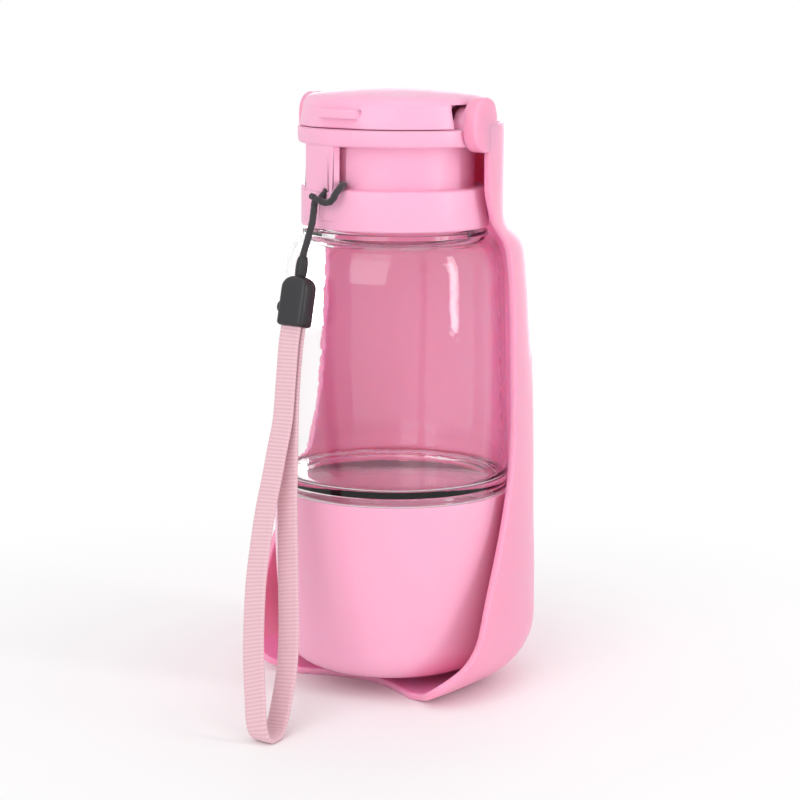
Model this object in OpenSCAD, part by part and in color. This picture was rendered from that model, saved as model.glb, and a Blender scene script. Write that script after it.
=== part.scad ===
// Dog travel water bottle: a clear bottle with a screw cap and flip lid on top, a food cup screwed
// under it, and a drinking trough that hangs from two pivots on the cap and folds over the lid.
// The bottle's axis is Z, the trough's underside is z = 0, and the pivots lie along X at y = 0.

/* [Food cup] */
// Largest outer radius of the cup, at its rim
cup_r = 40.8; // [40.4:0.1:41.2]
// Height of the cup from its underside to its rim
cup_h = 61.7; // [56:0.5:68]
// Wall thickness of the cup
cup_wall = 2.4; // [2.2:0.1:2.8]
// How much narrower the cup is at the top of its rounded foot
cup_taper = 2.8; // [2:0.1:3.4]
// Radius of the cup's rounded foot
cup_foot_r = 12; // [12:0.5:14]
// Thickness of the cup's floor
cup_floor = 2.4; // [2:0.1:3]

/* [Clear bottle] */
// Outer radius of the bottle at its lower end
bottle_r = 40; // [39.6:0.1:40.2]
// Outer radius of the bottle where the shoulder begins
bottle_top_r = 37.4; // [37:0.1:37.8]
// Height from the seam over the cup to the mouth of the bottle
bottle_h = 98.7; // [92:0.5:106]
// Wall thickness of the bottle
bottle_wall = 2; // [1.8:0.1:2.3]
// Height of the rounded shoulder
shoulder_h = 15; // [12:0.5:16]
// Radius of the collar that the cap screws down to
collar_r = 31.4; // [31:0.1:31.7]
// Outer radius of the screw neck
neck_r = 27; // [26.8:0.1:27.2]
// Thickness of the neck's wall
neck_wall = 2.2; // [2:0.1:2.4]
// Depth of the screw ring that goes down into the cup
spigot_h = 10.2; // [9.4:0.1:11]
// Outer radius of the screw ring
spigot_r = 36.3; // [36:0.1:36.4]

/* [Screw threads] */
// Rise of the neck thread in one turn
neck_lead = 4; // [3.6:0.1:4.4]
// Rise of the cup thread in one turn
cup_lead = 3; // [2.8:0.1:3.4]
// Radial height of each thread ridge
ridge_h = 1.2; // [1:0.1:1.2]

/* [Cap] */
// Outer radius of the band round the bottle's neck
band_r = 31.8; // [31.6:0.1:32]
// Height of the band
band_h = 13.5; // [13:0.1:14]
// Thickness of the band's wall
band_wall = 2.8; // [2.6:0.1:3]
// Thickness of the plate that closes the band over the mouth of the bottle
plate_t = 2.2; // [2:0.1:2.6]
// Outer radius of the narrow part between band and flange
waist_r = 26.7; // [26.4:0.1:26.9]
// Height of the narrow part
waist_h = 14; // [13:0.5:15]
// Thickness of the narrow part's wall
waist_wall = 2.4; // [2.2:0.1:2.6]
// Outer radius of the flange under the lid
flange_r = 33; // [32.8:0.1:33.2]
// Height of the flange
flange_h = 5.7; // [5.5:0.1:6]
// Half the distance between the flats under the trough's ears
flat_x = 31.7; // [31.5:0.1:31.8]
// Thickness of the deck under the lid
deck_t = 3.1; // [2.8:0.1:3.4]
// Inner radius of the pouring spout
spout_r = 5.5; // [5:0.1:6]
// Height of the spout over the deck
spout_h = 6.1; // [5.6:0.1:6.3]

/* [Lid] */
// Outer radius of the lid at its lower edge
lid_r = 32.5; // [32.3:0.1:32.7]
// Height of the closed lid over the flange, with the seam
lid_h = 12.9; // [12.5:0.1:13.1]
// Thickness of the lid's wall
lid_wall = 2.2; // [2:0.1:2.4]
// Radius of the rounding round the lid's top
lid_edge_r = 4.5; // [4:0.1:5]
// Width of the thumb tab
tab_w = 14.5; // [12:0.5:16]
// Distance of the lid's hinge axis behind the bottle's axis
hinge_y = 30.5; // [30.3:0.1:30.6]
// Radius of the hinge pin
hinge_pin_r = 1; // [0.9:0.05:1.1]

/* [Trough] */
// Wall thickness of the trough
trough_wall = 2.4; // [2.2:0.1:2.6]
// Room between the cup and the trough's sides
side_room = 5.8; // [5.4:0.1:7]
// Room between the bottle and the trough's back
back_room = 10.1; // [9:0.1:12]
// Room between the cap's flange and the trough's neck
shell_room = 1.8; // [1.7:0.1:2]
// Gap between the cup's underside and the trough's floor
floor_gap = 3.8; // [3.6:0.1:4.4]
// Radius of the rounded ends of the ears on the pivots
ear_r = 7; // [6.8:0.1:7.2]
// Thickness of each ear
ear_t = 5; // [4.8:0.1:5.4]
// Radius of the trough's pivot pins
pivot_r = 2.5; // [2.3:0.1:2.7]

/* [Lanyard] */
// Radius of the round lanyard cord
cord_r = 1.1; // [1:0.05:1.15]
// Width of the webbing in the wrist loop
web_w = 8; // [7.5:0.1:8.5]
// Thickness of the webbing
web_t = 1.6; // [1.4:0.1:1.7]
// Width of the moulded connector
block_w = 10.5; // [10:0.1:11]
// Thickness of the moulded connector
block_t = 7; // [6.6:0.1:7.2]
// Length of the moulded connector
block_h = 16.5; // [16:0.1:17]

/* [Hidden] */
$fn = 96;

// Clearance between pieces that move past each other, and inside a sliding seam
gap = 0.3;
// Running clearance of a pin in its bore, and of a pin that is pressed in
run_fit = 0.05;
press_fit = 0.02;
// How far a joined shape reaches into its neighbour, so that they become one solid
sink = 0.4;

// Heights, counted up from the trough's underside
cup_z = trough_wall + floor_gap;
seam_z = cup_z + cup_h + gap;
mouth_z = seam_z + bottle_h;
gasket_t = 1.3;
plate_z = mouth_z + gasket_t + 2 * gap;
band_top_z = plate_z + plate_t;
band_z = band_top_z - band_h;
flange_z = band_top_z + waist_h;
deck_z = flange_z + flange_h;
pivot_z = deck_z + 1.5;
hinge_z = pivot_z + 6;

// Radii that follow from the sizes above
band_in_r = band_r - band_wall;
waist_in_r = waist_r - waist_wall;
neck_in_r = neck_r - neck_wall;
cup_in_r = cup_r - cup_wall;
knuckle_r = hinge_pin_r + 1.1;
ear_x = flat_x + gap;
lug_r = pivot_r + 3.4;
lug_in_x = 27.2;

// A closed helical ridge. Each ring is a trapezoid, lowest at the ends where the ridge runs out
module helix_ridge(root, height, z0, lead, turns, wide, narrow) {
    steps = ceil(36 * turns);
    function rise(i) = max(0.02, min(1, i / 4, (steps - i) / 4));
    function ring(i) = let (a = 360 * turns * i / steps, z = z0 + lead * a / 360, r = root + height * rise(i))
        let (back = root - sign(height) * sink)
        [for (p = [[back, -wide / 2], [back, wide / 2], [r, narrow / 2], [r, -narrow / 2]])
            [p[0] * cos(a), p[0] * sin(a), z + p[1]]];
    sweep_rings([for (i = [0:steps]) ring(i)], height < 0);
}

// Skin over a list of rings with the same number of points, closed at both ends
module sweep_rings(rings, inward = false) {
    n = len(rings[0]);
    last = len(rings) - 1;
    function at(i, j) = i * n + (j % n);
    function turned(f) = inward ? [for (k = [len(f) - 1:-1:0]) f[k]] : f;
    faces = concat(
        [turned([for (j = [0:n - 1]) at(0, j)])],
        [turned([for (j = [n - 1:-1:0]) at(last, j)])],
        [for (i = [0:last - 1], j = [0:n - 1]) turned([at(i, j + 1), at(i, j), at(i + 1, j)])],
        [for (i = [0:last - 1], j = [0:n - 1]) turned([at(i + 1, j + 1), at(i, j + 1), at(i + 1, j)])]
    );
    polyhedron(points = [for (r = rings, p = r) p], faces = faces);
}

function unit(v) = v / norm(v);
function heading(pts, i) = unit(pts[min(i + 1, len(pts) - 1)] - pts[max(i - 1, 0)]);

// Tube along a route. Its section is a list of [across, thick] points, and side says which way across is
module tube(pts, section, side) {
    function frame(i) = let (t = heading(pts, i), w = unit(side - t * (side * t))) [w, cross(t, w)];
    function ring(i) = let (f = frame(i)) [for (s = section) pts[i] + f[0] * s[0] + f[1] * s[1]];
    sweep_rings([for (i = [0:len(pts) - 1]) ring(i)]);
}

function round_section(r) = [for (a = [22.5:45:337.5]) [r * cos(a), r * sin(a)]];
function flat_section(w, t) = let (c = t / 4) [
    [w / 2, t / 2 - c], [w / 2 - c, t / 2], [-w / 2 + c, t / 2], [-w / 2, t / 2 - c],
    [-w / 2, c - t / 2], [c - w / 2, -t / 2], [w / 2 - c, -t / 2], [w / 2, c - t / 2]
];

// Food cup

cup_top_z = cup_z + cup_h;
cup_corner_z = cup_z + cup_foot_r;
// Outer radius of the cup at a height: nearly straight above and drawn in towards the foot
function cup_outer(z) = cup_r - cup_taper * pow((cup_top_z - z) / (cup_top_z - cup_corner_z), 3);
seat_z = cup_top_z - 1.8;
seat_r = cup_in_r + 1;
cup_steps = 8;
function cup_step_z(i) = cup_corner_z + (cup_top_z - cup_corner_z) * i / cup_steps;
cup_foot = cup_outer(cup_corner_z) - cup_foot_r;
cup_foot_in_r = cup_foot_r - cup_wall;

module food_cup() color("lightpink") {
    rotate_extrude() polygon(concat(
        [[0, cup_z]],
        [for (a = [-90:15:0]) [cup_foot + cup_foot_r * cos(a), cup_corner_z + cup_foot_r * sin(a)]],
        [for (i = [1:cup_steps]) [cup_outer(cup_step_z(i)), cup_step_z(i)]],
        [[seat_r, cup_top_z], [seat_r, seat_z], [cup_in_r, seat_z], [cup_in_r, seat_z - spigot_h]],
        [for (i = [cup_steps - 2:-1:0]) [cup_outer(cup_step_z(i)) - cup_wall - 0.1, cup_step_z(i)]],
        [for (a = [0:-15:-90]) [cup_foot + cup_foot_in_r * cos(a), cup_corner_z + cup_foot_in_r * sin(a)]],
        [[0, cup_z + cup_floor]]
    ));
    rotate([0, 0, 180]) helix_ridge(cup_in_r, -ridge_h, seam_z - 8.3, cup_lead, 1.1, 1.2, 0.5);
}

module cup_gasket() color("whitesmoke")
    translate([0, 0, seat_z + gap]) difference() {
        cylinder(r = seat_r - gap, h = seam_z - seat_z - 2 * gap);
        translate([0, 0, -1]) cylinder(r = spigot_r + gap, h = 4);
    }

// Clear bottle

base_t = 2.4;
base_z = seam_z + 1.8;
shoulder_z = mouth_z - 11.9 - shoulder_h;
shoulder_in_r = 31;
shoulder_w = bottle_top_r - shoulder_in_r;
collar_z = shoulder_z + shoulder_h;
collar_t = 1.4;

module water_bottle() color("aliceblue", 0.4) {
    rotate_extrude() polygon(concat(
        [[0, base_z], [spigot_r - bottle_wall, base_z], [spigot_r - bottle_wall, seam_z - spigot_h]],
        [[spigot_r, seam_z - spigot_h], [spigot_r, seam_z]],
        [[bottle_r - 0.4, seam_z], [bottle_r, seam_z + 0.6]],
        [for (a = [0:10:80]) [shoulder_in_r + shoulder_w * cos(a), shoulder_z + shoulder_h * sin(a)]],
        [[collar_r, collar_z - 0.4], [collar_r, collar_z + collar_t], [neck_r, collar_z + collar_t]],
        [[neck_r, mouth_z], [neck_in_r, mouth_z], [neck_in_r, collar_z - bottle_wall]],
        [for (a = [90:-10:0]) [shoulder_in_r - bottle_wall + shoulder_w * cos(a),
            shoulder_z + (shoulder_h - bottle_wall) * sin(a)]],
        [[bottle_r - bottle_wall, base_z + base_t + 1], [bottle_r - bottle_wall - 1, base_z + base_t]],
        [[0, base_z + base_t]]
    ));
    helix_ridge(neck_r, ridge_h, band_z + 2, neck_lead, 1.5, 1.6, 0.8);
    helix_ridge(spigot_r, ridge_h, seam_z - 8.3, cup_lead, 1.1, 1.2, 0.5);
}

module mouth_gasket() color("whitesmoke")
    translate([0, 0, mouth_z + gap]) difference() {
        cylinder(r = neck_r + 1.4, h = gasket_t);
        translate([0, 0, -1]) cylinder(r = neck_in_r + 0.1, h = gasket_t + 2);
    }

// Cap

bar_turn = -18.5;
bar_half_w = 8.1;
bar_in_r = 29.4;
bar_out_r = 32;
// Recess in the waist behind the bar, a little short of the band and the flange
recess_r = 25.4;
recess_out_r = 28;
recess_half_w = 7.5;
recess_edge = 0.4;
recess_h = waist_h - 2 * recess_edge;
boss_r = 32.4;
post_x = 4;
post_w = 5;
spout_wall = 2.5;
// Where the pivot pins begin inside the cap's lugs
pin_in_x = 28.9;
// Low wall on the deck that stands inside the lid, open behind
guard_r = 28.4;
guard_t = 1.4;
guard_h = 3;
guard_end_y = 4;
// Where the cord comes out through the foot of the bar, and where that hole opens behind the bar
cord_hole_x = 4.4;
cord_hole_front = [cord_hole_x, -34.6, 166.8];
cord_hole_back = [cord_hole_x, -27.9, 172.5];

module cap_ring() rotate_extrude() polygon([
    [band_in_r, band_z], [band_r - 0.5, band_z], [band_r, band_z + 0.5], [band_r, band_top_z - 0.6],
    [band_r - 0.6, band_top_z], [waist_r, band_top_z], [waist_r, flange_z], [flange_r - 1.4, flange_z],
    [flange_r - 0.4, flange_z + 0.4], [flange_r, flange_z + 1.4], [flange_r, deck_z - 0.3],
    [flange_r - 0.3, deck_z], [spout_r + spout_wall, deck_z], [spout_r + spout_wall, deck_z + spout_h - 0.6],
    [spout_r + spout_wall - 0.6, deck_z + spout_h], [spout_r, deck_z + spout_h], [spout_r, deck_z - deck_t],
    [waist_in_r, deck_z - deck_t], [waist_in_r, plate_z], [band_in_r, plate_z]
]);

// Upright bar that the lanyard is tied to, with a flat boss under it on the band
module lanyard_bar() rotate([0, 0, bar_turn]) {
    intersection() {
        difference() {
            translate([0, 0, band_top_z - 1]) cylinder(r = bar_out_r, h = waist_h + 2);
            translate([0, 0, band_top_z - 2]) cylinder(r = bar_in_r, h = waist_h + 4);
        }
        translate([-bar_half_w, -40, band_top_z - 1]) cube([2 * bar_half_w, 20, waist_h + 2]);
    }
    intersection() {
        difference() {
            translate([0, 0, band_z + 3]) cylinder(r = boss_r, h = band_h - 4);
            translate([0, 0, band_z + 2]) cylinder(r = band_r - 1, h = band_h);
        }
        translate([-bar_half_w, -40, band_z]) cube([2 * bar_half_w, 20, band_h]);
    }
}

module hinge_post(x) {
    translate([x, hinge_y, hinge_z]) rotate([0, 90, 0]) cylinder(r = knuckle_r, h = post_w);
    translate([x, hinge_y - 1.8, deck_z - 1]) cube([post_w, 3.6, hinge_z - deck_z + 1]);
}

module cap_body() color("pink") difference() {
    union() {
        cap_ring();
        lanyard_bar();
        difference() {
            translate([0, 0, deck_z - sink]) cylinder(r = guard_r, h = guard_h + sink);
            translate([0, 0, deck_z - 1]) cylinder(r = guard_r - guard_t, h = guard_h + 2);
            translate([-lid_r, guard_end_y, deck_z - 1]) cube([2 * lid_r, lid_r, guard_h + 2]);
        }
        for (s = [-1, 1]) translate([s * lug_in_x, 0, pivot_z])
            rotate([0, s * 90, 0]) cylinder(r = lug_r, h = flat_x - lug_in_x);
        for (x = [-post_x - post_w, post_x]) hinge_post(x);
        rotate([0, 0, 180]) helix_ridge(band_in_r, -ridge_h, band_z + 2, neck_lead, 1.5, 1.6, 0.8);
    }
    for (s = [-1, 1]) translate([s * (flat_x + 5) - 5, -20, flange_z - 0.1]) cube([10, 40, flange_h + 2]);
    for (s = [-1, 1]) translate([s * (pin_in_x - 0.2), 0, pivot_z])
        rotate([0, s * 90, 0]) cylinder(r = pivot_r + press_fit, h = 6);
    translate([-post_x - post_w - 1, hinge_y, hinge_z]) rotate([0, 90, 0])
        cylinder(r = hinge_pin_r + press_fit, h = 2 * (post_x + post_w + 1));
    rotate([0, 0, bar_turn]) translate([0, 0, band_top_z + recess_edge]) intersection() {
        difference() {
            cylinder(r = recess_out_r, h = recess_h);
            translate([0, 0, -1]) cylinder(r = recess_r, h = recess_h + 2);
        }
        translate([-recess_half_w, -bar_out_r, -1]) cube([2 * recess_half_w, bar_out_r, recess_h + 2]);
    }
    rotate([0, 0, bar_turn]) translate(cord_hole_front)
        rotate([-atan2(cord_hole_back[1] - cord_hole_front[1], cord_hole_back[2] - cord_hole_front[2]), 0, 0])
            cylinder(r = cord_r + gap, h = norm(cord_hole_back - cord_hole_front));
}

module trough_pin(s) translate([s * pin_in_x, 0, pivot_z])
    rotate([0, s * 90, 0]) cylinder(r = pivot_r, h = ear_x + 2.8 - pin_in_x);
module trough_pin_left() color("lightpink") trough_pin(-1);
module trough_pin_right() color("lightpink") trough_pin(1);

// Lid

lid_z = deck_z + gap;
lid_top_z = deck_z + lid_h;
lid_dome = 2.1;
lid_flat_r = lid_r - 1.2 - lid_edge_r;
lid_edge_z = lid_top_z - lid_dome - lid_edge_r;
lid_in_edge_r = lid_edge_r - lid_wall;
seal_z = deck_z + spout_h + gap;
seal_top_z = seal_z + 1.9;
seal_r = spout_r + 3.7;
stem_r = 2.5;
stem_h = 1.6;
// The thumb pocket is a flat on the front of the skirt, and the tab stands out of it
pocket_y = lid_r - 1.4;
pocket_h = 7.4;
tab_z = deck_z + 3.6;
tab_h = 2.8;
tab_out = 2.3;
notch_x = 28;
notch_y = 10;
notch_z = pivot_z + lug_r + 0.6;

function dome(r, top) = top - lid_dome * pow(r / lid_flat_r, 2);

module lid_shell() rotate_extrude() polygon(concat(
    [[lid_r - lid_wall, lid_z], [lid_r, lid_z]],
    [for (a = [0:15:90]) [lid_flat_r + lid_edge_r * cos(a), lid_edge_z + lid_edge_r * sin(a)]],
    [for (r = [lid_flat_r * 0.75, lid_flat_r / 2, lid_flat_r / 4, 0]) [r, dome(r, lid_top_z)]],
    [for (r = [0, lid_flat_r / 4, lid_flat_r / 2, lid_flat_r * 0.75]) [r, dome(r, lid_top_z - lid_wall)]],
    [for (a = [90:-30:0]) [lid_flat_r + lid_in_edge_r * cos(a), lid_edge_z + lid_in_edge_r * sin(a)]]
));

module lid() color("pink") {
    difference() {
        union() {
            lid_shell();
            translate([0, 0, seal_top_z]) cylinder(r = stem_r + 2, h = lid_top_z - seal_top_z - 1);
            intersection() {
                translate([-post_x + gap, hinge_y, hinge_z]) rotate([0, 90, 0])
                    cylinder(r = knuckle_r, h = 2 * (post_x - gap));
                translate([-post_x, hinge_y - knuckle_r, hinge_z - knuckle_r])
                    cube([2 * post_x, 2 * knuckle_r, 2 * knuckle_r]);
            }
        }
        for (s = [-1, 1]) translate([s * (notch_x + 5) - 5, -notch_y, deck_z - 1])
            cube([10, 2 * notch_y, notch_z - deck_z + 1]);
        for (s = [-1, 1]) translate([s * (post_x + post_w / 2) - post_w / 2 - gap, hinge_y - 3, deck_z - 1])
            cube([post_w + 2 * gap, 10, lid_h + 2]);
        translate([-12, hinge_y - 6, deck_z]) cube([24, 12, 1]);
        translate([-12, -pocket_y - 5, lid_z - 1]) cube([24, 5, pocket_h + 1]);
        translate([0, 0, seal_top_z - 1]) cylinder(r = stem_r + press_fit, h = stem_h + 1);
        translate([-post_x, hinge_y, hinge_z]) rotate([0, 90, 0])
            cylinder(r = hinge_pin_r + run_fit, h = 2 * post_x);
    }
    translate([-tab_w / 2, -pocket_y - tab_out, tab_z]) cube([tab_w, tab_out + 0.6, tab_h]);
}

module lid_hinge_pin() color("silver")
    translate([-post_x - post_w, hinge_y, hinge_z]) rotate([0, 90, 0])
        cylinder(r = hinge_pin_r, h = 2 * (post_x + post_w));

module lid_seal() color("whitesmoke") {
    translate([0, 0, seal_z]) cylinder(r = seal_r, h = seal_top_z - seal_z);
    translate([0, 0, seal_z - 2]) cylinder(r1 = spout_r - 1, r2 = spout_r - 0.6, h = 2);
    translate([0, 0, seal_top_z]) cylinder(r = stem_r, h = stem_h - 0.2);
}

// Trough

neck_shell_r = flange_r + shell_room + trough_wall;
belly_w = cup_r + side_room + trough_wall;
belly_d = bottle_r + back_room + trough_wall;
// Radii and height of the rounding round the trough's floor
floor_round_w = 25.3;
floor_round_h = 24;
front_d = 44;
scoop = 7.5;
shell_top_z = pivot_z + 0.2;
// Half the straight stretch between the ear's rounded ends
ear_straight = 2;
// Stations up the trough: height, width and depth between neck (0) and belly (1), and the rim's place in Y
stations = [
    [0, 1, 0.68, -22.2], [4, 1, 0.68, -27.2], [14, 1, 0.67, -19.8], [25, 0.98, 0.65, -14.7],
    [35, 0.96, 0.67, -11.2], [60, 0.8, 0.79, 0.5], [80, 0.67, 0.93, 7.5], [100, 0.55, 1, 10.5],
    [pivot_z - 57.2, 0.4, 0.86, 11.4], [pivot_z - 42.2, 0.31, 0.69, 10.2], [pivot_z - 30.2, 0, 0, 5],
    [pivot_z - 21.2, 0, 0, 1.4], [shell_top_z, 0, 0, 1]
];

function rise_of(k, c) = (stations[k + 1][c] - stations[k][c]) / (stations[k + 1][0] - stations[k][0]);
// Slope at a station: the harmonic mean of the slopes on its two sides, so that nothing overshoots
function slope(k, c) = k == 0 ? rise_of(0, c) : k == len(stations) - 1 ? rise_of(k - 1, c)
    : let (below = rise_of(k - 1, c), above = rise_of(k, c))
        below * above <= 0 ? 0 : 2 * below * above / (below + above);
function segment(z, k = 0) = k == len(stations) - 2 || z < stations[k + 1][0] ? k : segment(z, k + 1);
function station_value(z, c) = let (
    k = segment(z),
    h = stations[k + 1][0] - stations[k][0],
    t = (z - stations[k][0]) / h
) (1 + 2 * t) * pow(1 - t, 2) * stations[k][c] + t * pow(1 - t, 2) * slope(k, c) * h
    + t * t * (3 - 2 * t) * stations[k + 1][c] - t * t * (1 - t) * slope(k + 1, c) * h;

half_ring = 30;
// Heights of the rings: close together round the floor's edge and at the flare, wider apart between
ring_zs = concat(
    [for (a = [0:12:84]) floor_round_h * (1 - cos(a))],
    [for (z = [floor_round_h:9:135]) z],
    [for (d = [54, 51, 48, 45, 42, 39, 36, 33, 30, 20, 10]) pivot_z - d],
    [shell_top_z]
);
function floor_inset(z, w, h) = z >= h ? 0 : w * (1 - sqrt(1 - pow(1 - z / h, 2)));
// Ring of the outer skin, or of the inner one, which lies one wall further in
function trough_ring(z, t) = let (
    low = z < floor_round_h,
    skin_z = low ? t + z * (floor_round_h - t) / floor_round_h : z,
    inset = floor_inset(z, floor_round_w - t, floor_round_h),
    a = neck_shell_r + station_value(z, 1) * (belly_w - neck_shell_r) - t - inset,
    b = neck_shell_r + station_value(z, 2) * (belly_d - neck_shell_r) - t - inset,
    f = front_d - t,
    y0 = station_value(z, 3),
    n = z > pivot_z - 36 ? 1 : 1 / 1.1,
    start = y0 >= 0 ? asin(pow(y0 / b, 1 / n)) : -asin(-y0 / f)
) [for (i = [-half_ring:half_ring]) let (
    q = start + (90 - start) * (1 - abs(i) / half_ring),
    x = q >= 0 ? a * pow(max(0, cos(q)), n) : a * pow(1 - pow(sin(q), 4), 0.25),
    y = q >= 0 ? b * pow(sin(q), n) : f * sin(q)
) [sign(i) * x, y, skin_z]];

scoop_steps = 16;
// Front edge of the floor between the feet, scooped back in the middle
function scoop_line(foot) = [for (j = [1:scoop_steps - 1]) let (u = 1 - 2 * j / scoop_steps)
    [foot[0] * u, foot[1] + scoop * cos(90 * u), foot[2]]];

module trough_skin() {
    n = 2 * half_ring + 1;
    top = len(ring_zs) - 1;
    outer = [for (z = ring_zs, p = trough_ring(z, 0)) p];
    inner = [for (z = ring_zs, p = trough_ring(z, trough_wall)) p];
    under = scoop_line(outer[n - 1]);
    over = scoop_line(inner[n - 1]);
    shift = len(outer);
    edge = 2 * shift;
    function o(k, i) = k * n + i;
    function w(k, i) = shift + k * n + i;
    function quad(a, b, c, d) = [[a, b, c], [a, c, d]];
    under_chain = concat([o(0, n - 1)], [for (j = [0:scoop_steps - 2]) edge + j], [o(0, 0)]);
    over_chain = concat([w(0, n - 1)], [for (j = [0:scoop_steps - 2]) edge + scoop_steps - 1 + j], [w(0, 0)]);
    polyhedron(points = concat(outer, inner, under, over), faces = concat(
        [for (k = [0:top - 1], i = [0:n - 2])
            each quad(o(k, i), o(k, i + 1), o(k + 1, i + 1), o(k + 1, i))],
        [for (k = [0:top - 1], i = [0:n - 2])
            each quad(w(k, i), w(k + 1, i), w(k + 1, i + 1), w(k, i + 1))],
        [for (i = [0:n - 2]) each quad(o(top, i), o(top, i + 1), w(top, i + 1), w(top, i))],
        [for (k = [0:top - 1]) each quad(o(k, n - 1), w(k, n - 1), w(k + 1, n - 1), o(k + 1, n - 1))],
        [for (k = [0:top - 1]) each quad(w(k, 0), o(k, 0), o(k + 1, 0), w(k + 1, 0))],
        [for (j = [0:scoop_steps - 1])
            each quad(under_chain[j], under_chain[j + 1], over_chain[j + 1], over_chain[j])],
        [[for (j = [scoop_steps - 1:-1:1]) under_chain[j], for (i = [n - 1:-1:0]) o(0, i)]],
        [[for (i = [0:n - 1]) w(0, i), for (j = [1:scoop_steps - 1]) over_chain[j]]]
    ));
}

module trough() color("pink") difference() {
    union() {
        trough_skin();
        for (s = [-1, 1]) translate([s * ear_x, 0, pivot_z]) rotate([0, s * 90, 0]) linear_extrude(ear_t) {
            for (up = [-1, 1]) translate([up * ear_straight, 0]) circle(r = ear_r);
            translate([-ear_straight, -ear_r]) square([2 * ear_straight, 2 * ear_r]);
        }
    }
    for (s = [-1, 1]) translate([s * (ear_x - 1), 0, pivot_z]) rotate([0, s * 90, 0])
        cylinder(r = pivot_r + run_fit, h = 4);
}

// Lanyard, hanging on the front of the cap

// Knot where the doubled cord crosses the cord hole, and the hook that it makes round the bar's edge.
// Both are in the bar's own frame, which bar_turn turns about the bottle's axis.
knot_r = 1.9;
knot_at = [4.4, -35, 168.3];
hook_route = [
    [4.4, -33.9, 167.5], [4.4, -32.8, 168.4], [4.4, -31.2, 169.7], [4.4, -29, 171.6], [4.9, -27.9, 172.4],
    [6.6, -27.3, 172.5], [8.6, -27.1, 172.5], [10.2, -28, 172.5], [11.3, -29.6, 172.4],
    [12.3, -31.2, 171.5], [12.6, -32.9, 170], [12.2, -33.4, 168.6], [10.8, -33.8, 167.4], [9, -34.2, 167],
    [7.6, -34.8, 167.2], [6.3, -35.2, 167.7]
];
// Points of the stretch between the knot and the sleeve
drop_route = [
    [-6.8, -35.2, 167.4], [-6.7, -36.1, 164], [-6.6, -36.9, 160.7], [-6.9, -37.9, 157.4],
    [-7.3, -38.8, 154.2], [-7.8, -39.9, 150.6], [-7.9, -40.5, 148.5]
];
// The connector hangs with its lower end further from the bottle
lean = -12.5;
sleeve_r = 1.75;
sleeve_h = 6.6;
sleeve_top = [-7.9, -40.1, 149.3];
knob_r = 2.1;
knob_t = 1.5;
// Points of the wrist loop: down its front leg to the ground in front of the bottle, and back up
loop_route = [
    [-7.9, -46.1, 127.9], [-8, -47.5, 121.5], [-7.4, -49.7, 110], [-6.5, -52.5, 97], [-6.1, -55.8, 88],
    [-5.4, -59.6, 78.5], [-4.7, -63.5, 69.5], [-3.2, -68, 59], [-0.8, -73.5, 45.5], [4, -80.4, 28],
    [9.3, -86, 14], [11.8, -88.4, 7], [12.8, -88.3, 3.4], [13, -86.6, 1.4], [12.6, -83.5, 1],
    [12, -80.4, 1.4], [11.5, -78, 3.4], [11, -75.6, 7.6], [9.3, -70, 19.5], [6.9, -66, 31],
    [4, -62.6, 44], [0.7, -58.8, 57.5],
    [-2.2, -55.4, 71.5], [-4.9, -51.7, 87], [-6.9, -48.6, 103], [-8, -45.7, 117], [-7.9, -43.9, 127.5]
];

module cord_hitch() color("dimgray") rotate([0, 0, bar_turn]) {
    tube(hook_route, round_section(cord_r), [0, -0.6, 1]);
    translate(knot_at) sphere(r = knot_r, $fn = 32);
}

module lanyard_cord() color("dimgray") tube(drop_route, round_section(cord_r + 0.1), [1, 0, 0]);

module cord_sleeve() color("dimgray") translate(sleeve_top) rotate([lean, 0, 0])
    translate([0, 0, -sleeve_h]) cylinder(r = sleeve_r, h = sleeve_h);

module lanyard_connector() color("dimgray") translate(sleeve_top) rotate([lean, 0, 0])
    translate([0, block_t / 2, -sleeve_h - block_h]) rotate([90, 0, 0]) linear_extrude(block_t) {
        translate([-block_w / 2, 0]) square([block_w, block_h - 4]);
        for (s = [-1, 1]) translate([s * (block_w / 2 - 4), block_h - 4]) circle(r = 4);
        translate([-block_w / 2 + 4, block_h - 5]) square([block_w - 8, 5]);
    }

module connector_knob() color("dimgray") translate(sleeve_top) rotate([lean, 0, 0])
    translate([-block_w / 2, 0, -sleeve_h - block_h * 0.63]) rotate([0, -90, 0])
        cylinder(r = knob_r, h = knob_t);

module wrist_strap() color("mistyrose") tube(loop_route, flat_section(web_w, web_t), [1, 0, 0]);

water_bottle();
cup_gasket();
food_cup();
mouth_gasket();
cap_body();
lid();
lid_hinge_pin();
lid_seal();
trough();
trough_pin_left();
trough_pin_right();
cord_hitch();
lanyard_cord();
cord_sleeve();
lanyard_connector();
connector_knob();
wrist_strap();
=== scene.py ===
import math

import bmesh
import bpy
import numpy as np
from mathutils import Matrix, Vector


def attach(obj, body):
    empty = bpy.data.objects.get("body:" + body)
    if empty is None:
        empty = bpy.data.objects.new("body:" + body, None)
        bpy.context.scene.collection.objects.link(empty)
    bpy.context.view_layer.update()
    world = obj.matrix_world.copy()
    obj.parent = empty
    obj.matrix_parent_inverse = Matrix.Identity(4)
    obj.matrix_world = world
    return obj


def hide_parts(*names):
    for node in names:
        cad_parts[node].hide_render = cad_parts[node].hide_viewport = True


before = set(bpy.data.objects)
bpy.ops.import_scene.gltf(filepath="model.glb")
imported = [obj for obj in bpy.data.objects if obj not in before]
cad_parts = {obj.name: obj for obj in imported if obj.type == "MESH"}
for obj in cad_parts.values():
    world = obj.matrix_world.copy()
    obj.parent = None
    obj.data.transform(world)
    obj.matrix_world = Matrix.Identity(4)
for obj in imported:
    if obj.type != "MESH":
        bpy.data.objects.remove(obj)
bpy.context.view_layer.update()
MM = 0.001

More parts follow.
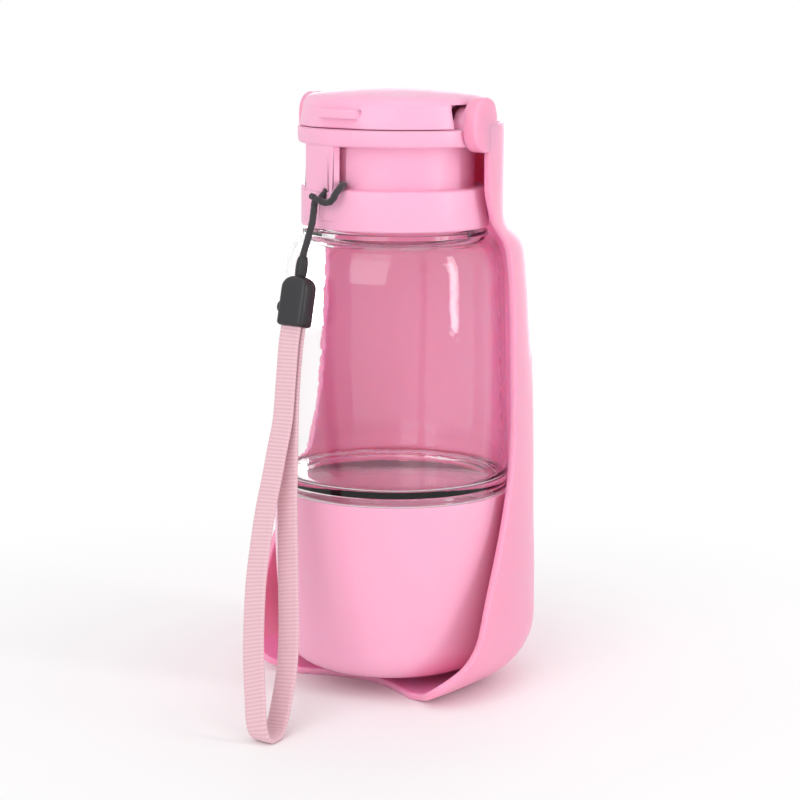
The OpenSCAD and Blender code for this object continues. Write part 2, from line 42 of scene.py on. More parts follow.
# Camera
# The photograph was taken from the right of the front and a little above, with a long lens.
# The picture is 800 by 800, and the bottle's axis leans half a degree in it.
CAMERA_AZIMUTH = math.radians(36)
CAMERA_ELEVATION = math.radians(10.2)
CAMERA_DISTANCE = 755 * MM
AIM_HEIGHT = 96.9 * MM
FOCAL_PIXELS = 2195
PICTURE_PIXELS = 800
AXIS_OFFSET_PIXELS = 6.5
CAMERA_ROLL = math.radians(0.5)

toward_camera = Vector((
    math.sin(CAMERA_AZIMUTH) * math.cos(CAMERA_ELEVATION),
    -math.cos(CAMERA_AZIMUTH) * math.cos(CAMERA_ELEVATION),
    math.sin(CAMERA_ELEVATION),
))
camera_data = bpy.data.cameras.new("camera")
camera_data.sensor_width = 36
camera_data.lens = 36 * FOCAL_PIXELS / PICTURE_PIXELS
camera_data.shift_x = AXIS_OFFSET_PIXELS / PICTURE_PIXELS
camera = bpy.data.objects.new("camera", camera_data)
camera.location = Vector((0, 0, AIM_HEIGHT)) + toward_camera * CAMERA_DISTANCE
camera.rotation_mode = "QUATERNION"
camera.rotation_quaternion = (
    toward_camera.to_track_quat("Z", "Y") @ Matrix.Rotation(CAMERA_ROLL, 3, "Z").to_quaternion()
)
bpy.context.collection.objects.link(camera)
bpy.context.scene.camera = camera


# Lanyard cord
# Braided black polyester cord, 2.4 mm thick. It comes out of the hole in the foot of the cap's
# bar, hooks round the bar's edge, crosses itself in a knot and hangs down to the sleeve.
BAR_TURN = math.radians(-18.5)
HOOK_ROUTE = [
    (4.4, -33.9, 167.5), (4.4, -32.8, 168.4), (4.4, -31.2, 169.7), (4.4, -29, 171.6), (4.9, -27.9, 172.4),
    (6.6, -27.3, 172.5), (8.6, -27.1, 172.5), (10.2, -28, 172.5), (11.3, -29.6, 172.4),
    (12.3, -31.2, 171.5), (12.6, -32.9, 170), (12.2, -33.4, 168.6), (10.8, -33.8, 167.4),
    (9, -34.2, 167), (7.6, -34.8, 167.2), (6.3, -35.2, 167.7),
]
DROP_ROUTE = [
    (-6.8, -35.2, 167.4), (-6.7, -36.1, 164), (-6.6, -36.9, 160.7), (-6.9, -37.9, 157.4),
    (-7.3, -38.8, 154.2), (-7.8, -39.9, 150.6), (-7.9, -40.5, 148.5),
]
CORD_R = 1.2 * MM
BRAID_STRANDS = 6
BRAID_PITCH = 4.2 * MM
BRAID_DEPTH = 0.16 * MM


def smooth_route(points, step):
    """Points at even steps along a smooth curve through the given ones."""
    p = [Vector(q) for q in points]
    p = [2 * p[0] - p[1], *p, 2 * p[-1] - p[-2]]
    fine = []
    for a, b, c, d in zip(p, p[1:], p[2:], p[3:]):
        for t in np.linspace(0, 1, 24, endpoint=False):
            fine.append(0.5 * (2 * b + (c - a) * t + (2 * a - 5 * b + 4 * c - d) * t**2
                               + (3 * b - a - 3 * c + d) * t**3))
    fine.append(p[-2])
    line = np.array([tuple(v) for v in fine])
    along = np.concatenate([[0], np.cumsum(np.linalg.norm(np.diff(line, axis=0), axis=1))])
    count = max(2, int(along[-1] / step))
    even = np.linspace(0, along[-1], count + 1)
    return np.stack([np.interp(even, along, line[:, k]) for k in range(3)], 1), even


def mesh_object(name, points, faces):
    """A smooth-shaded mesh object made of the given points and faces."""
    mesh = bpy.data.meshes.new(name)
    mesh.from_pydata([tuple(q) for q in points], [], [tuple(f) for f in faces])
    mesh.validate()
    mesh.polygons.foreach_set("use_smooth", [True] * len(mesh.polygons))
    made = bpy.data.objects.new(name, mesh)
    bpy.context.collection.objects.link(made)
    return made


def skin(rings, caps=True):
    """Points and faces of a skin over closed rings that all have the same number of points."""
    count = len(rings[0])
    faces = [
        (i * count + j, i * count + (j + 1) % count, (i + 1) * count + (j + 1) % count, (i + 1) * count + j)
        for i in range(len(rings) - 1) for j in range(count)
    ]
    if caps:
        faces.append(tuple(range(count))[::-1])
        faces.append(tuple((len(rings) - 1) * count + j for j in range(count)))
    return [q for ring in rings for q in ring], faces


def carried_frames(line):
    """Two directions across a route at each of its points, carried along it without twist."""
    heading = np.gradient(line, axis=0)
    heading /= np.linalg.norm(heading, axis=1)[:, None]
    side = np.cross(heading[0], (0.3, 0.2, 1))
    frames = []
    for t in heading:
        side = side - t * side.dot(t)
        side /= np.linalg.norm(side)
        frames.append((side, np.cross(t, side)))
    return frames


def braided_tube(name, line, along, radius):
    """A cord whose surface is raised where its strands cross over, and tapers shut at both ends."""
    around = np.linspace(0, 2 * math.pi, 36, endpoint=False)
    rings = []
    for (u, v), centre, s in zip(carried_frames(line), line, along):
        turn = 2 * math.pi * s / BRAID_PITCH
        over = np.abs(np.sin(0.5 * (BRAID_STRANDS * around + turn))) * np.abs(
            np.sin(0.5 * (BRAID_STRANDS * around - turn)))
        closing = min(1, 0.35 + (along[-1] - s) / radius, 0.35 + s / radius)
        r = (radius - BRAID_DEPTH * (1 - over)) * closing
        rings.append([centre + u * a * math.cos(t) + v * a * math.sin(t) for a, t in zip(r, around)])
    return mesh_object(name, *skin(rings))


turn = Matrix.Rotation(BAR_TURN, 3, "Z")
cord_points = [turn @ Vector(q) * MM for q in HOOK_ROUTE] + [Vector(q) * MM for q in DROP_ROUTE]
cord_line, cord_along = smooth_route(cord_points, 0.22 * MM)
lanyard = braided_tube("braided_lanyard", cord_line, cord_along, CORD_R)
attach(lanyard, "cap")
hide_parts("cord_hitch", "lanyard_cord")


# Knot nub
# The sealed end of the cord stands out of the knot to the left, where the doubled cord crosses.
NUB_START = Vector((-6.3, -35.4, 168.2)) * MM
NUB_END = Vector((-9.6, -34.4, 168.9)) * MM
nub_line, nub_along = smooth_route([NUB_START, (NUB_START + NUB_END) / 2, NUB_END], 0.2 * MM)
nub = braided_tube("knot_nub", nub_line, nub_along, CORD_R * 0.95)
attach(nub, "cap")


# Wrist loop
# One 8 mm grosgrain tape of pale pink polyester, folded in two, with both ends moulded into the
# connector. The ribs run across it. Its low end rests on the ground in front of the bottle.
LOOP_ROUTE = [
    (-7.9, -46.1, 127.9), (-8, -47.5, 121.5), (-7.4, -49.7, 110), (-6.5, -52.5, 97), (-6.1, -55.8, 88),
    (-5.4, -59.6, 78.5), (-4.7, -63.5, 69.5), (-3.2, -68, 59), (-0.8, -73.5, 45.5), (4, -80.4, 28),
    (9.3, -86, 14), (11.8, -88.4, 7), (12.8, -88.3, 3.4), (13, -86.6, 1.4), (12.6, -83.5, 1),
    (12, -80.4, 1.4), (11.5, -78, 3.4), (11, -75.6, 7.6), (9.3, -70, 19.5), (6.9, -66, 31),
    (4, -62.6, 44), (0.7, -58.8, 57.5), (-2.2, -55.4, 71.5), (-4.9, -51.7, 87), (-6.9, -48.6, 103),
    (-8, -45.7, 117), (-7.9, -43.9, 127.5),
]
TAPE_WIDTH = 8 * MM
TAPE_THICKNESS = 1.5 * MM
RIB_PITCH = 1.25 * MM
RIB_DEPTH = 0.09 * MM


def tape_section(thickness):
    """Half-round edges and flat faces of the tape, as across and through offsets."""
    half, r = TAPE_WIDTH / 2, thickness / 2
    left = [(-half + r - r * math.cos(a), r * math.sin(a)) for a in np.linspace(-1.4, 1.4, 5)]
    right = [(half - r + r * math.cos(a), r * math.sin(a)) for a in np.linspace(1.4, -1.4, 5)]
    flat = [x * (half - r) for x in (-0.75, -0.45, -0.15, 0.15, 0.45, 0.75)]
    return left + [(x, r) for x in flat] + right + [(x, -r) for x in flat[::-1]]


loop_line, loop_along = smooth_route([Vector(q) * MM for q in LOOP_ROUTE], 0.2 * MM)
heading = np.gradient(loop_line, axis=0)
heading /= np.linalg.norm(heading, axis=1)[:, None]
tape_rings = []
for centre, t, s in zip(loop_line, heading, loop_along):
    across = np.array((1.0, 0, 0)) - t * t[0]
    across /= np.linalg.norm(across)
    through = np.cross(t, across)
    rib = TAPE_THICKNESS - RIB_DEPTH * (0.5 - 0.5 * math.cos(2 * math.pi * s / RIB_PITCH))
    tape_rings.append([centre + across * x + through * y for x, y in tape_section(rib)])
wrist_loop = mesh_object("wrist_loop", *skin(tape_rings))
uv = wrist_loop.data.uv_layers.new(name="tape")
section_count = len(tape_rings[0])
for loop in wrist_loop.data.loops:
    ring, place = divmod(loop.vertex_index, section_count)
    uv.data[loop.index].uv = (loop_along[ring] / MM, place / section_count)
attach(wrist_loop, "cap")
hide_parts("wrist_strap")


# Lanyard materials
# Polyester takes a dull, slightly furry sheen. The tape is dyed pale pink, with painted shade in the grooves
# between its ribs, and the cord is dyed black with a few lighter threads.
def linear(code):
    """An sRGB hex colour as the linear colour that the shader takes."""
    parts = [int(code[i:i + 2], 16) / 255 for i in (1, 3, 5)]
    return (*[c / 12.92 if c <= 0.04045 else ((c + 0.055) / 1.055) ** 2.4 for c in parts], 1)


def add_node(tree, kind, inputs=(), **settings):
    """Adds a shader node, sets its settings, and sets or links its inputs."""
    made = tree.nodes.new(kind)
    for key, value in settings.items():
        setattr(made, key, value)
    for socket, value in dict(inputs).items():
        if isinstance(value, bpy.types.NodeSocket):
            tree.links.new(value, made.inputs[socket])
        else:
            made.inputs[socket].default_value = value
    return made


def new_material(name, **sockets):
    """A named material with a Principled shader, whose sockets are given with underscores."""
    made = bpy.data.materials.new(name)
    made.use_nodes = True
    shader = made.node_tree.nodes["Principled BSDF"]
    for key, value in sockets.items():
        shader.inputs[key.replace("_", " ")].default_value = value
    return made, made.node_tree, shader


def dress(piece, material):
    """Gives a piece, or a CAD node, this one material."""
    piece.data.materials.clear()
    piece.data.materials.append(material)


def grosgrain_tape():
    # Grosgrain polyester: fine warp threads run along the tape over thick ribs across it, with painted shade
    # in the grooves between the ribs.
    made, tree, shader = new_material("grosgrain_polyester", Roughness=0.82, Sheen_Weight=0.35,
                                      Sheen_Roughness=0.5)
    place = add_node(tree, "ShaderNodeUVMap", uv_map="tape").outputs["UV"]
    along = add_node(tree, "ShaderNodeSeparateXYZ", {"Vector": place}).outputs
    rib = add_node(tree, "ShaderNodeMath", {0: along["X"], 1: 2 * math.pi * MM / RIB_PITCH},
                   operation="MULTIPLY")
    rib = add_node(tree, "ShaderNodeMath", {0: rib.outputs[0]}, operation="COSINE").outputs[0]
    warp = add_node(tree, "ShaderNodeMath", {0: along["Y"], 1: 2 * math.pi * 56}, operation="MULTIPLY")
    warp = add_node(tree, "ShaderNodeMath", {0: warp.outputs[0]}, operation="SINE").outputs[0]
    fuzz = add_node(tree, "ShaderNodeTexNoise", {"Scale": 1400.0, "Detail": 3.0}).outputs["Fac"]
    # Painted shade: darker pink in the grooves between the ribs, lighter on their crests, following the
    # modelled rib thickness.
    rib_shade = add_node(tree, "ShaderNodeMapRange", {"Value": rib, "From Min": -1.0, "From Max": 1.0})
    shade = add_node(tree, "ShaderNodeMix", {"Factor": rib_shade.outputs[0], "A": linear("#dcaeb9"),
                                             "B": linear("#e9c2ca")}, data_type="RGBA")
    tree.links.new(shade.outputs["Result"], shader.inputs["Base Color"])
    weave = add_node(tree, "ShaderNodeMath", {0: warp, 1: fuzz}, operation="ADD").outputs[0]
    bump = add_node(tree, "ShaderNodeBump", {"Height": weave, "Strength": 0.25, "Distance": 0.05 * MM})
    tree.links.new(bump.outputs[0], shader.inputs["Normal"])
    return made


def braided_polyester():
    # Braided black polyester: dark dull threads with lighter ones between.
    made, tree, shader = new_material("braided_polyester", Roughness=0.7, Sheen_Weight=0.25)
    fleck = add_node(tree, "ShaderNodeTexNoise", {"Scale": 1900.0, "Detail": 4.0}).outputs["Fac"]
    shade = add_node(tree, "ShaderNodeMix", {"Factor": fleck, "A": linear("#151215"),
                                             "B": linear("#383338")}, data_type="RGBA")
    tree.links.new(shade.outputs["Result"], shader.inputs["Base Color"])
    bump = add_node(tree, "ShaderNodeBump", {"Height": fleck, "Strength": 0.35, "Distance": 0.06 * MM})
    tree.links.new(bump.outputs[0], shader.inputs["Normal"])
    return made


cord_finish = braided_polyester()
dress(lanyard, cord_finish)
dress(nub, cord_finish)
dress(wrist_loop, grosgrain_tape())


# Connector, its knob and the sleeve
# Two-shot moulded black ABS block, where the tape ends are trapped, with a round release knob at
# its side and a short rubber sleeve over the cord above it. All three lean away from the bottle.
SLEEVE_TOP = Vector((-7.9, -40.1, 149.3)) * MM
LEAN = math.radians(-12.5)
SLEEVE_H = 6.6 * MM
BLOCK_W, BLOCK_T, BLOCK_H = 10.5 * MM, 7 * MM, 16.5 * MM
BLOCK_CORNER = 1.5 * MM
BLOCK_SHOULDER = 4 * MM
hanging = Matrix.Translation(SLEEVE_TOP) @ Matrix.Rotation(LEAN, 4, "X")


def rounded_section(half_x, half_y, corner, z, steps=5):
    """A level ring shaped as a rectangle with round corners."""
    corner = min(corner, half_x, half_y)
    ring = []
    for quarter, (sx, sy) in enumerate([(1, 1), (-1, 1), (-1, -1), (1, -1)]):
        for k in range(steps + 1):
            a = math.pi / 2 * (quarter + k / steps)
            ring.append(Vector((sx * (half_x - corner) + corner * math.cos(a),
                                sy * (half_y - corner) + corner * math.sin(a), z)))
    return ring


def hang(name, rings):
    """A closed piece in the lanyard's leaning frame, which rides on the cap."""
    made = mesh_object(name, *skin([[hanging @ q for q in ring] for ring in rings]))
    made.data.set_sharp_from_angle(angle=math.radians(50))
    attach(made, "cap")
    return made


block_rings = []
for a in np.linspace(-90, 0, 5):
    edge = 1.2 * MM
    inset = edge * (1 - math.cos(math.radians(a)))
    z = -SLEEVE_H - BLOCK_H + edge + edge * math.sin(math.radians(a))
    block_rings.append(rounded_section(BLOCK_W / 2 - inset, BLOCK_T / 2 - inset, BLOCK_CORNER, z))
for a in np.linspace(0, 90, 10):
    c, s = math.cos(math.radians(a)), math.sin(math.radians(a))
    z = -SLEEVE_H - BLOCK_SHOULDER * (1 - s)
    block_rings.append(rounded_section(BLOCK_W / 2 - BLOCK_SHOULDER * (1 - c),
                                       BLOCK_T / 2 - 1.6 * MM * (1 - c), BLOCK_CORNER, z))
block = hang("connector_block", block_rings)
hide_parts("lanyard_connector")

SLEEVE_PROFILE = [(-6.9, 1.7), (-6.2, 1.9), (-4.2, 2.05), (-2, 1.95), (-0.9, 1.75), (-0.2, 1.5), (0, 1.25)]
sleeve_rings = [rounded_section(r * MM, r * MM, r * MM, z * MM, 8) for z, r in SLEEVE_PROFILE]
sleeve = hang("rubber_sleeve", sleeve_rings)
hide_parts("cord_sleeve")

KNOB_R = 2.1 * MM
KNOB_PROFILE = [(0, 0.8), (0.35, 0.8), (0.36, 1), (1.1, 1), (1.4, 0.86), (1.5, 0.6)]
knob_z = -SLEEVE_H - 0.63 * BLOCK_H
knob_rings = []
for out, share in KNOB_PROFILE:
    ring = rounded_section(KNOB_R * share, KNOB_R * share, KNOB_R, 0, 8)
    knob_rings.append([Vector((-BLOCK_W / 2 - out * MM, q.x, knob_z + q.y)) for q in ring])
knob = hang("release_knob", [ring[::-1] for ring in knob_rings])
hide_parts("connector_knob")


def moulded_abs(name, code, roughness, grain):
    # Moulded ABS: a satin skin with the fine spark-eroded texture of the mould.
    made, tree, shader = new_material(name, Base_Color=linear(code), Roughness=roughness, IOR=1.53)
    texture = add_node(tree, "ShaderNodeTexNoise", {"Scale": 1 / grain, "Detail": 2.0}).outputs["Fac"]
    bump = add_node(tree, "ShaderNodeBump", {"Height": texture, "Strength": 0.12, "Distance": 0.03 * MM})
    tree.links.new(bump.outputs[0], shader.inputs["Normal"])
    return made


black_abs = moulded_abs("black_abs", "#1e1b1f", 0.42, 0.35 * MM)
dress(block, black_abs)
dress(knob, black_abs)
dress(sleeve, moulded_abs("black_rubber", "#1e1b1e", 0.6, 0.25 * MM))


# Clear bottle
# Blow-moulded clear copolyester with an even 2 mm wall: a flat base with a screw ring under it, a
# slightly tapered body, a rounded shoulder, a collar and the threaded neck inside the cap.
SEAM_Z, MOUTH_Z = 68.2, 166.9
BODY_R, BODY_TOP_R, SHOULDER_IN_R = 40, 37.4, 31
SHOULDER_Z, SHOULDER_H, WALL = 140, 15, 2
SPIGOT_R, SPIGOT_H = 36.3, 10.2
NECK_R, NECK_IN_R, COLLAR_R, COLLAR_T = 27, 24.8, 31.4, 1.4


def rounded_outline(corners, steps=4):
    """An outline in radius and height whose corners, given as (r, z, fillet), are rounded."""
    outline = []
    for k, (r, z, fillet) in enumerate(corners):
        here = np.array((r, z), float)
        before = np.array(corners[k - 1][:2], float) - here
        after = np.array(corners[(k + 1) % len(corners)][:2], float) - here
        if not fillet:
            outline.append(tuple(here))
            continue
        reach = min(fillet, 0.45 * np.linalg.norm(before), 0.45 * np.linalg.norm(after))
        a = here + before / np.linalg.norm(before) * reach
        b = here + after / np.linalg.norm(after) * reach
        for t in np.linspace(0, 1, steps + 1):
            outline.append(tuple((1 - t)**2 * a + 2 * t * (1 - t) * here + t**2 * b))
    return outline


def lathe(name, outline, steps=160, sharp=40):
    """A solid of revolution about Z. The outline is in millimetres and closes on itself or the axis."""
    rings = [[(r * MM * math.cos(a), r * MM * math.sin(a), z * MM)
              for a in np.linspace(0, 2 * math.pi, steps, endpoint=False)] for r, z in outline]
    on_axis = outline[0][0] < 1e-6
    points, faces = skin(rings if on_axis else rings + rings[:1], caps=False)
    made = mesh_object(name, points, faces)
    tidy = bmesh.new()
    tidy.from_mesh(made.data)
    bmesh.ops.remove_doubles(tidy, verts=tidy.verts, dist=1e-6)
    bmesh.ops.recalc_face_normals(tidy, faces=tidy.faces)
    tidy.to_mesh(made.data)
    tidy.free()
    made.data.set_sharp_from_angle(angle=math.radians(sharp))
    return made


def screw_ridge(root, height, z0, lead, turns, wide, narrow):
    """Points and faces of a helical thread ridge, in millimetres, which runs out at both ends."""
    steps = int(72 * turns)
    rings = []
    for i in range(steps + 1):
        a = 2 * math.pi * turns * i / steps
        r = root + height * max(0.02, min(1, i / 8, (steps - i) / 8))
        z = z0 + lead * a / (2 * math.pi)
        back = root - math.copysign(0.3, height)
        rings.append([Vector((q * math.cos(a), q * math.sin(a), z + dz)) * MM
                      for q, dz in [(back, -wide / 2), (back, wide / 2), (r, narrow / 2), (r, -narrow / 2)]])
    return skin(rings)


shoulder_w = BODY_TOP_R - SHOULDER_IN_R
shoulder = [(SHOULDER_IN_R + shoulder_w * math.cos(a), SHOULDER_Z + SHOULDER_H * math.sin(a), 0)
            for a in np.radians(np.arange(0, 86, 5))]
inner_shoulder = [
    (SHOULDER_IN_R - WALL + shoulder_w * math.cos(a), SHOULDER_Z + (SHOULDER_H - WALL) * math.sin(a), 0)
    for a in np.radians(np.arange(90, -1, -5))
]
bottle = lathe("clear_bottle", rounded_outline([
    (0, SEAM_Z + 1.8, 0), (SPIGOT_R - WALL, SEAM_Z + 1.8, 0.8), (SPIGOT_R - WALL, SEAM_Z - SPIGOT_H, 0.4),
    (SPIGOT_R, SEAM_Z - SPIGOT_H, 0.5), (SPIGOT_R, SEAM_Z, 0.3), (BODY_R, SEAM_Z, 0.9),
    *shoulder,
    (COLLAR_R, SHOULDER_Z + SHOULDER_H - 0.3, 0.4), (COLLAR_R, SHOULDER_Z + SHOULDER_H + COLLAR_T, 0.4),
    (NECK_R, SHOULDER_Z + SHOULDER_H + COLLAR_T, 0.6), (NECK_R, MOUTH_Z, 0.6), (NECK_IN_R, MOUTH_Z, 0.6),
    (NECK_IN_R, SHOULDER_Z + SHOULDER_H - WALL, 1.5),
    *inner_shoulder,
    (BODY_R - WALL - 0.05, SEAM_Z + 4.2, 3), (0, SEAM_Z + 4.2, 0),
]), steps=192)
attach(bottle, "bottle")
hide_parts("water_bottle")
neck_thread = mesh_object("neck_thread", *screw_ridge(NECK_R, 1.2, 159.5, 4, 1.5, 1.6, 0.8))
ring_thread = mesh_object("cup_ring_thread", *screw_ridge(SPIGOT_R, 1.2, SEAM_Z - 8.3, 3, 1.1, 1.2, 0.5))
for thread in (neck_thread, ring_thread):
    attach(thread, "bottle")


def clear_copolyester():
    # Clear copolyester: colourless in a wall this thin, polished, with slight waves from moulding.
    made, tree, shader = new_material("clear_copolyester", Base_Color=linear("#ffffff"), Roughness=0.02,
                                      IOR=1.42, Transmission_Weight=1.0)
    waves = add_node(tree, "ShaderNodeTexNoise", {"Scale": 38.0, "Detail": 1.0}).outputs["Fac"]
    bump = add_node(tree, "ShaderNodeBump", {"Height": waves, "Strength": 0.1, "Distance": 0.25 * MM})
    tree.links.new(bump.outputs[0], shader.inputs["Normal"])
    rays = add_node(tree, "ShaderNodeLightPath").outputs
    lamps = add_node(tree, "ShaderNodeMath", {0: rays["Is Shadow Ray"], 1: rays["Is Diffuse Ray"]},
                     operation="MAXIMUM").outputs[0]
    clear = add_node(tree, "ShaderNodeBsdfTransparent", {"Color": linear("#ffffff")}).outputs[0]
    lit = add_node(tree, "ShaderNodeMixShader", {0: lamps, 1: shader.outputs[0], 2: clear}).outputs[0]
    tree.links.new(lit, tree.nodes["Material Output"].inputs["Surface"])
    return made


clear_finish = clear_copolyester()
for piece in (bottle, neck_thread, ring_thread):
    dress(piece, clear_finish)


# Food cup
# Injection-moulded polypropylene, satin outside, with a rounded foot and a stepped rim for the seal.
CUP_Z, CUP_H, CUP_R, CUP_WALL, CUP_TAPER, CUP_FOOT_R = 6.2, 61.7, 40.8, 2.4, 2.8, 12
cup_top = CUP_Z + CUP_H
cup_corner = CUP_Z + CUP_FOOT_R


def cup_radius(z):
    """Outer radius of the cup, drawn in towards its foot."""
    return CUP_R - CUP_TAPER * ((cup_top - z) / (cup_top - cup_corner))**3


foot = cup_radius(cup_corner) - CUP_FOOT_R
inner_foot_r = CUP_FOOT_R - CUP_WALL
cup = lathe("food_cup_shell", rounded_outline([
    (0, CUP_Z, 0),
    *[(foot + CUP_FOOT_R * math.cos(a), cup_corner + CUP_FOOT_R * math.sin(a), 0)
      for a in np.radians(np.arange(-90, 1, 6))],
    *[(cup_radius(z), z, 0) for z in np.linspace(cup_corner, cup_top - 0.8, 12)[1:]],
    (CUP_R, cup_top, 0.5), (CUP_R - CUP_WALL + 1, cup_top, 0.3), (CUP_R - CUP_WALL + 1, cup_top - 1.8, 0.1),
    (CUP_R - CUP_WALL, cup_top - 1.8, 0.2), (CUP_R - CUP_WALL, cup_top - 12, 0.3),
    *[(cup_radius(z) - CUP_WALL - 0.1, z, 0) for z in np.linspace(cup_top - 14, cup_corner, 8)],
    *[(foot + inner_foot_r * math.cos(a), cup_corner + inner_foot_r * math.sin(a), 0)
      for a in np.radians(np.arange(-6, -91, -7))],
    (0, CUP_Z + CUP_WALL, 0),
]), steps=192)
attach(cup, "cup")
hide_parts("food_cup")
cup_thread = mesh_object("cup_thread", *screw_ridge(-(CUP_R - CUP_WALL), 1.2, SEAM_Z - 8.3, 3, 1.1, 1.2, 0.5))
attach(cup_thread, "cup")


def moulded_pink(name, code, roughness, coat, glow, depth=1.6):
    # Moulded pink polypropylene: a waxy, slightly see-through body under a smooth skin, so that
    # light bleeds a little through thin walls, with the faint waviness of the mould's polish.
    made, tree, shader = new_material(name, Base_Color=linear(code), Roughness=roughness, IOR=1.49,
                                      Coat_Weight=coat, Coat_Roughness=0.12, Subsurface_Weight=glow,
                                      Subsurface_Radius=(1.0, 0.32, 0.43), Subsurface_Scale=depth * MM)
    skin_texture = add_node(tree, "ShaderNodeTexNoise", {"Scale": 900.0, "Detail": 3.0}).outputs["Fac"]
    waves = add_node(tree, "ShaderNodeTexNoise", {"Scale": 45.0, "Detail": 1.0}).outputs["Fac"]
    fine = add_node(tree, "ShaderNodeBump", {"Height": skin_texture, "Strength": 0.06, "Distance": 0.02 * MM})
    bump = add_node(tree, "ShaderNodeBump", {"Height": waves, "Strength": 0.08, "Distance": 0.2 * MM,
                                             "Normal": fine.outputs[0]})
    tree.links.new(bump.outputs[0], shader.inputs["Normal"])
    return made


cup_finish = moulded_pink("pink_polypropylene_cup", "#fab1ce", 0.3, 0.2, 0.4)
dress(cup, cup_finish)
dress(cup_thread, cup_finish)


# Drinking trough
# One injection-moulded piece of satin pink polypropylene. Its floor curves up under the bottle,
# its walls narrow to the two ears, which the side pins go through, and its rim is rounded.
TROUGH_WALL = 2.4
NECK_SHELL_R, BELLY_W, BELLY_D = 37.2, 49, 52.5
TROUGH_TOP_Z, FLOOR_CURVE_Z, TRANSITION_Z = 192.4, 24, 156.2
FRONT_DEPTH, FLOOR_ROUND, SCOOP = 44, 25.3, 7.5
# Height, share of the full width, share of the full depth behind, and where the rim stands (y).
STATIONS = [(0, 1, .68, -22.2), (4, 1, .68, -27.2), (14, 1, .67, -19.8), (25, .98, .65, -14.7),
            (35, .96, .67, -11.2), (60, .8, .79, .5), (80, .67, .93, 7.5), (100, .55, 1, 10.5),
            (135, .4, .86, 11.4), (150, .31, .69, 10.2), (162, 0, 0, 5), (171, 0, 0, 1.4), (192.4, 0, 0, 1)]
RIM_ROUND = 0.9
ARC_POINTS = 44
stations = np.array(STATIONS, float)
rises = np.diff(stations[:, 1:], axis=0) / np.diff(stations[:, 0])[:, None]
slopes = np.zeros((len(stations), 3))
slopes[0], slopes[-1] = rises[0], rises[-1]
for k in range(1, len(stations) - 1):
    for c in range(3):
        below, above = rises[k - 1][c], rises[k][c]
        slopes[k][c] = 0 if below * above <= 0 else 2 * below * above / (below + above)


def trough_at(z):
    """Width share, depth share and rim place at a height, between the stations and never past them."""
    k = int(np.clip(np.searchsorted(stations[:, 0], z, side="right") - 1, 0, len(stations) - 2))
    h = stations[k + 1][0] - stations[k][0]
    t = (z - stations[k][0]) / h
    return ((1 + 2 * t) * (1 - t)**2 * stations[k][1:] + t * (1 - t)**2 * slopes[k] * h
            + t * t * (3 - 2 * t) * stations[k + 1][1:] - t * t * (1 - t) * slopes[k + 1] * h)


def trough_arc(z, t):
    """Right half of a level line of the trough, a depth t inside its outer skin, from the rim back."""
    low = z < FLOOR_CURVE_Z
    level = t + z * (FLOOR_CURVE_Z - t) / FLOOR_CURVE_Z if low else z
    inset = (FLOOR_ROUND - t) * (1 - math.sqrt(1 - (1 - z / FLOOR_CURVE_Z)**2)) if low else 0
    wide, deep, rim = trough_at(z)
    a = NECK_SHELL_R + wide * (BELLY_W - NECK_SHELL_R) - t - inset
    b = NECK_SHELL_R + deep * (BELLY_D - NECK_SHELL_R) - t - inset
    f = FRONT_DEPTH - t
    n = 1 if z > TRANSITION_Z else 1 / 1.1
    start = math.asin((rim / b)**(1 / n)) if rim >= 0 else -math.asin(-rim / f)
    arc = []
    for q in np.linspace(start, math.pi / 2, ARC_POINTS):
        s, c = math.sin(q), max(0, math.cos(q))
        arc.append((a * c**n, b * s**n, level) if q >= 0 else (a * (1 - s**4)**0.25, f * s, level))
    return np.array(arc)


def trough_loop(z, thinner=0):
    """Closed level line round both skins, with the rim rounded. The outer skin comes first."""
    outer, inner = trough_arc(z, thinner), trough_arc(z, TROUGH_WALL - thinner)
    middle = (outer[0] + inner[0]) / 2
    half = (outer[0] - inner[0]) / 2
    back = (outer[1] + inner[1]) / 2 - middle
    back /= np.linalg.norm(back)
    rim = []
    for a in np.linspace(0, math.pi, 9)[1:-1]:
        c, s = math.cos(a), math.sin(a)
        rim.append(middle + back * RIM_ROUND * (1 - s**0.8) + half * math.copysign(abs(c)**0.8, c))
    outer[0] += back * RIM_ROUND
    inner[0] += back * RIM_ROUND
    right = np.array([*outer[:0:-1], outer[0], *rim, *inner])
    left = right * (-1, 1, 1)
    return np.array([*right[:-1], *left[:0:-1]])


levels = sorted({*[round(FLOOR_CURVE_Z * (1 - math.cos(a)), 3) for a in np.radians(np.arange(0, 90, 6))],
                 *np.arange(FLOOR_CURVE_Z, 139, 4.5), *np.arange(139, 163, 2), *np.arange(163, 191, 4),
                 TROUGH_TOP_Z - 0.8})
loops = [trough_loop(z) for z in levels]
for rise, thinner in [(0.35, 0.1), (0.12, 0.3), (0, 0.7)]:
    loops.append(trough_loop(TROUGH_TOP_Z - rise, thinner))
trough_points, trough_faces = skin(loops, caps=False)
count = len(loops[0])
rim_first, rim_last, back_in = ARC_POINTS - 1, ARC_POINTS + 7, 2 * ARC_POINTS + 6
front_rows = [list(range(rim_first, rim_last + 1))]
for u in np.linspace(1, -1, 33)[1:-1]:
    row = []
    for k in front_rows[0]:
        x, y, z = loops[0][k]
        row.append(len(trough_points))
        trough_points.append((x * u, y + SCOOP * math.cos(math.pi / 2 * u), z))
    front_rows.append(row)
front_rows.append([count - k for k in front_rows[0]])
for here, there in zip(front_rows, front_rows[1:]):
    trough_faces += [(here[k], here[k + 1], there[k + 1], there[k]) for k in range(len(here) - 1)]
between = front_rows[1:-1]
trough_faces.append([*range(rim_first + 1), *[row[0] for row in between], *range(count - rim_first, count)])
trough_faces.append([*range(rim_last, back_in + 1), *range(back_in + 1, count - rim_last + 1),
                     *[row[-1] for row in between[::-1]]])
top = (len(loops) - 1) * count
trough_faces.append([top + k for k in range(rim_first, rim_last + 1)])
trough_faces.append([top + count - k for k in range(rim_first, rim_last + 1)])
